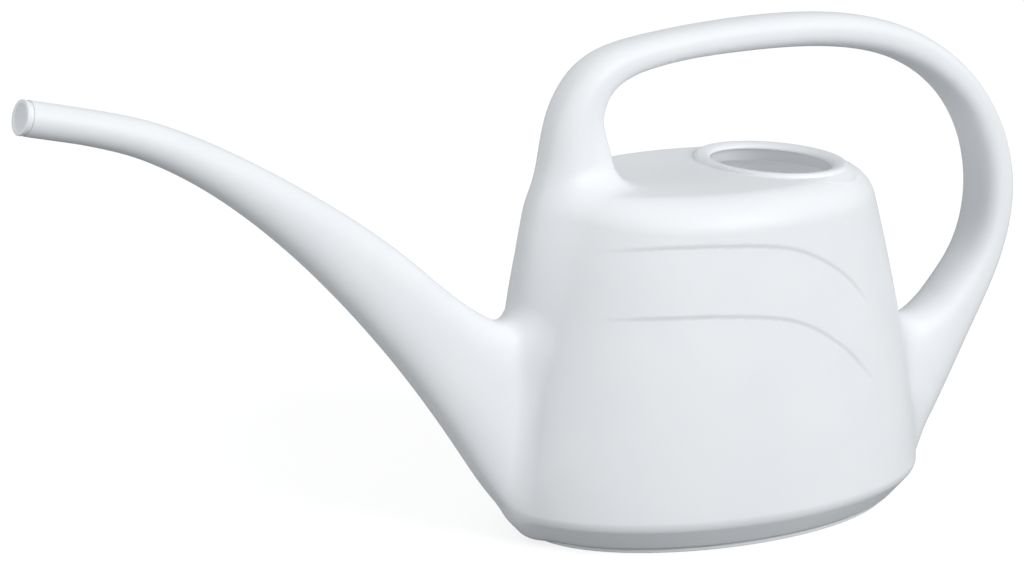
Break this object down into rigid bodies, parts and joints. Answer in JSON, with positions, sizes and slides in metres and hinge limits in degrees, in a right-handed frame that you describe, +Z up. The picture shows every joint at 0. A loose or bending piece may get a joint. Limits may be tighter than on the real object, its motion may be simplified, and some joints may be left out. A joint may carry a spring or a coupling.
{
  "type": "watering can",
  "caption": "Hollow plastic watering can with a closed oval tank, a loop handle, a long curved tapering spout and an oval filling hole.",
  "frame": {"origin": "centre of the oval foot, on the surface the can stands on", "axes": "+Z up, the spout points along -X, the rear of the handle is at +X, and Y = 0 is the mirror plane"},
  "size_m": [0.4901, 0.1352, 0.2175],
  "materials": {
    "white_plastic": "satin, slightly glossy moulded polyethylene"
  },
  "bodies": {
    "root": {"tank_shell": "white_plastic", "base_pan": "white_plastic", "filler_collar": "white_plastic", "spout": "white_plastic", "spout_lip": "white_plastic", "handle": "white_plastic"}
  },
  "joints": []
}
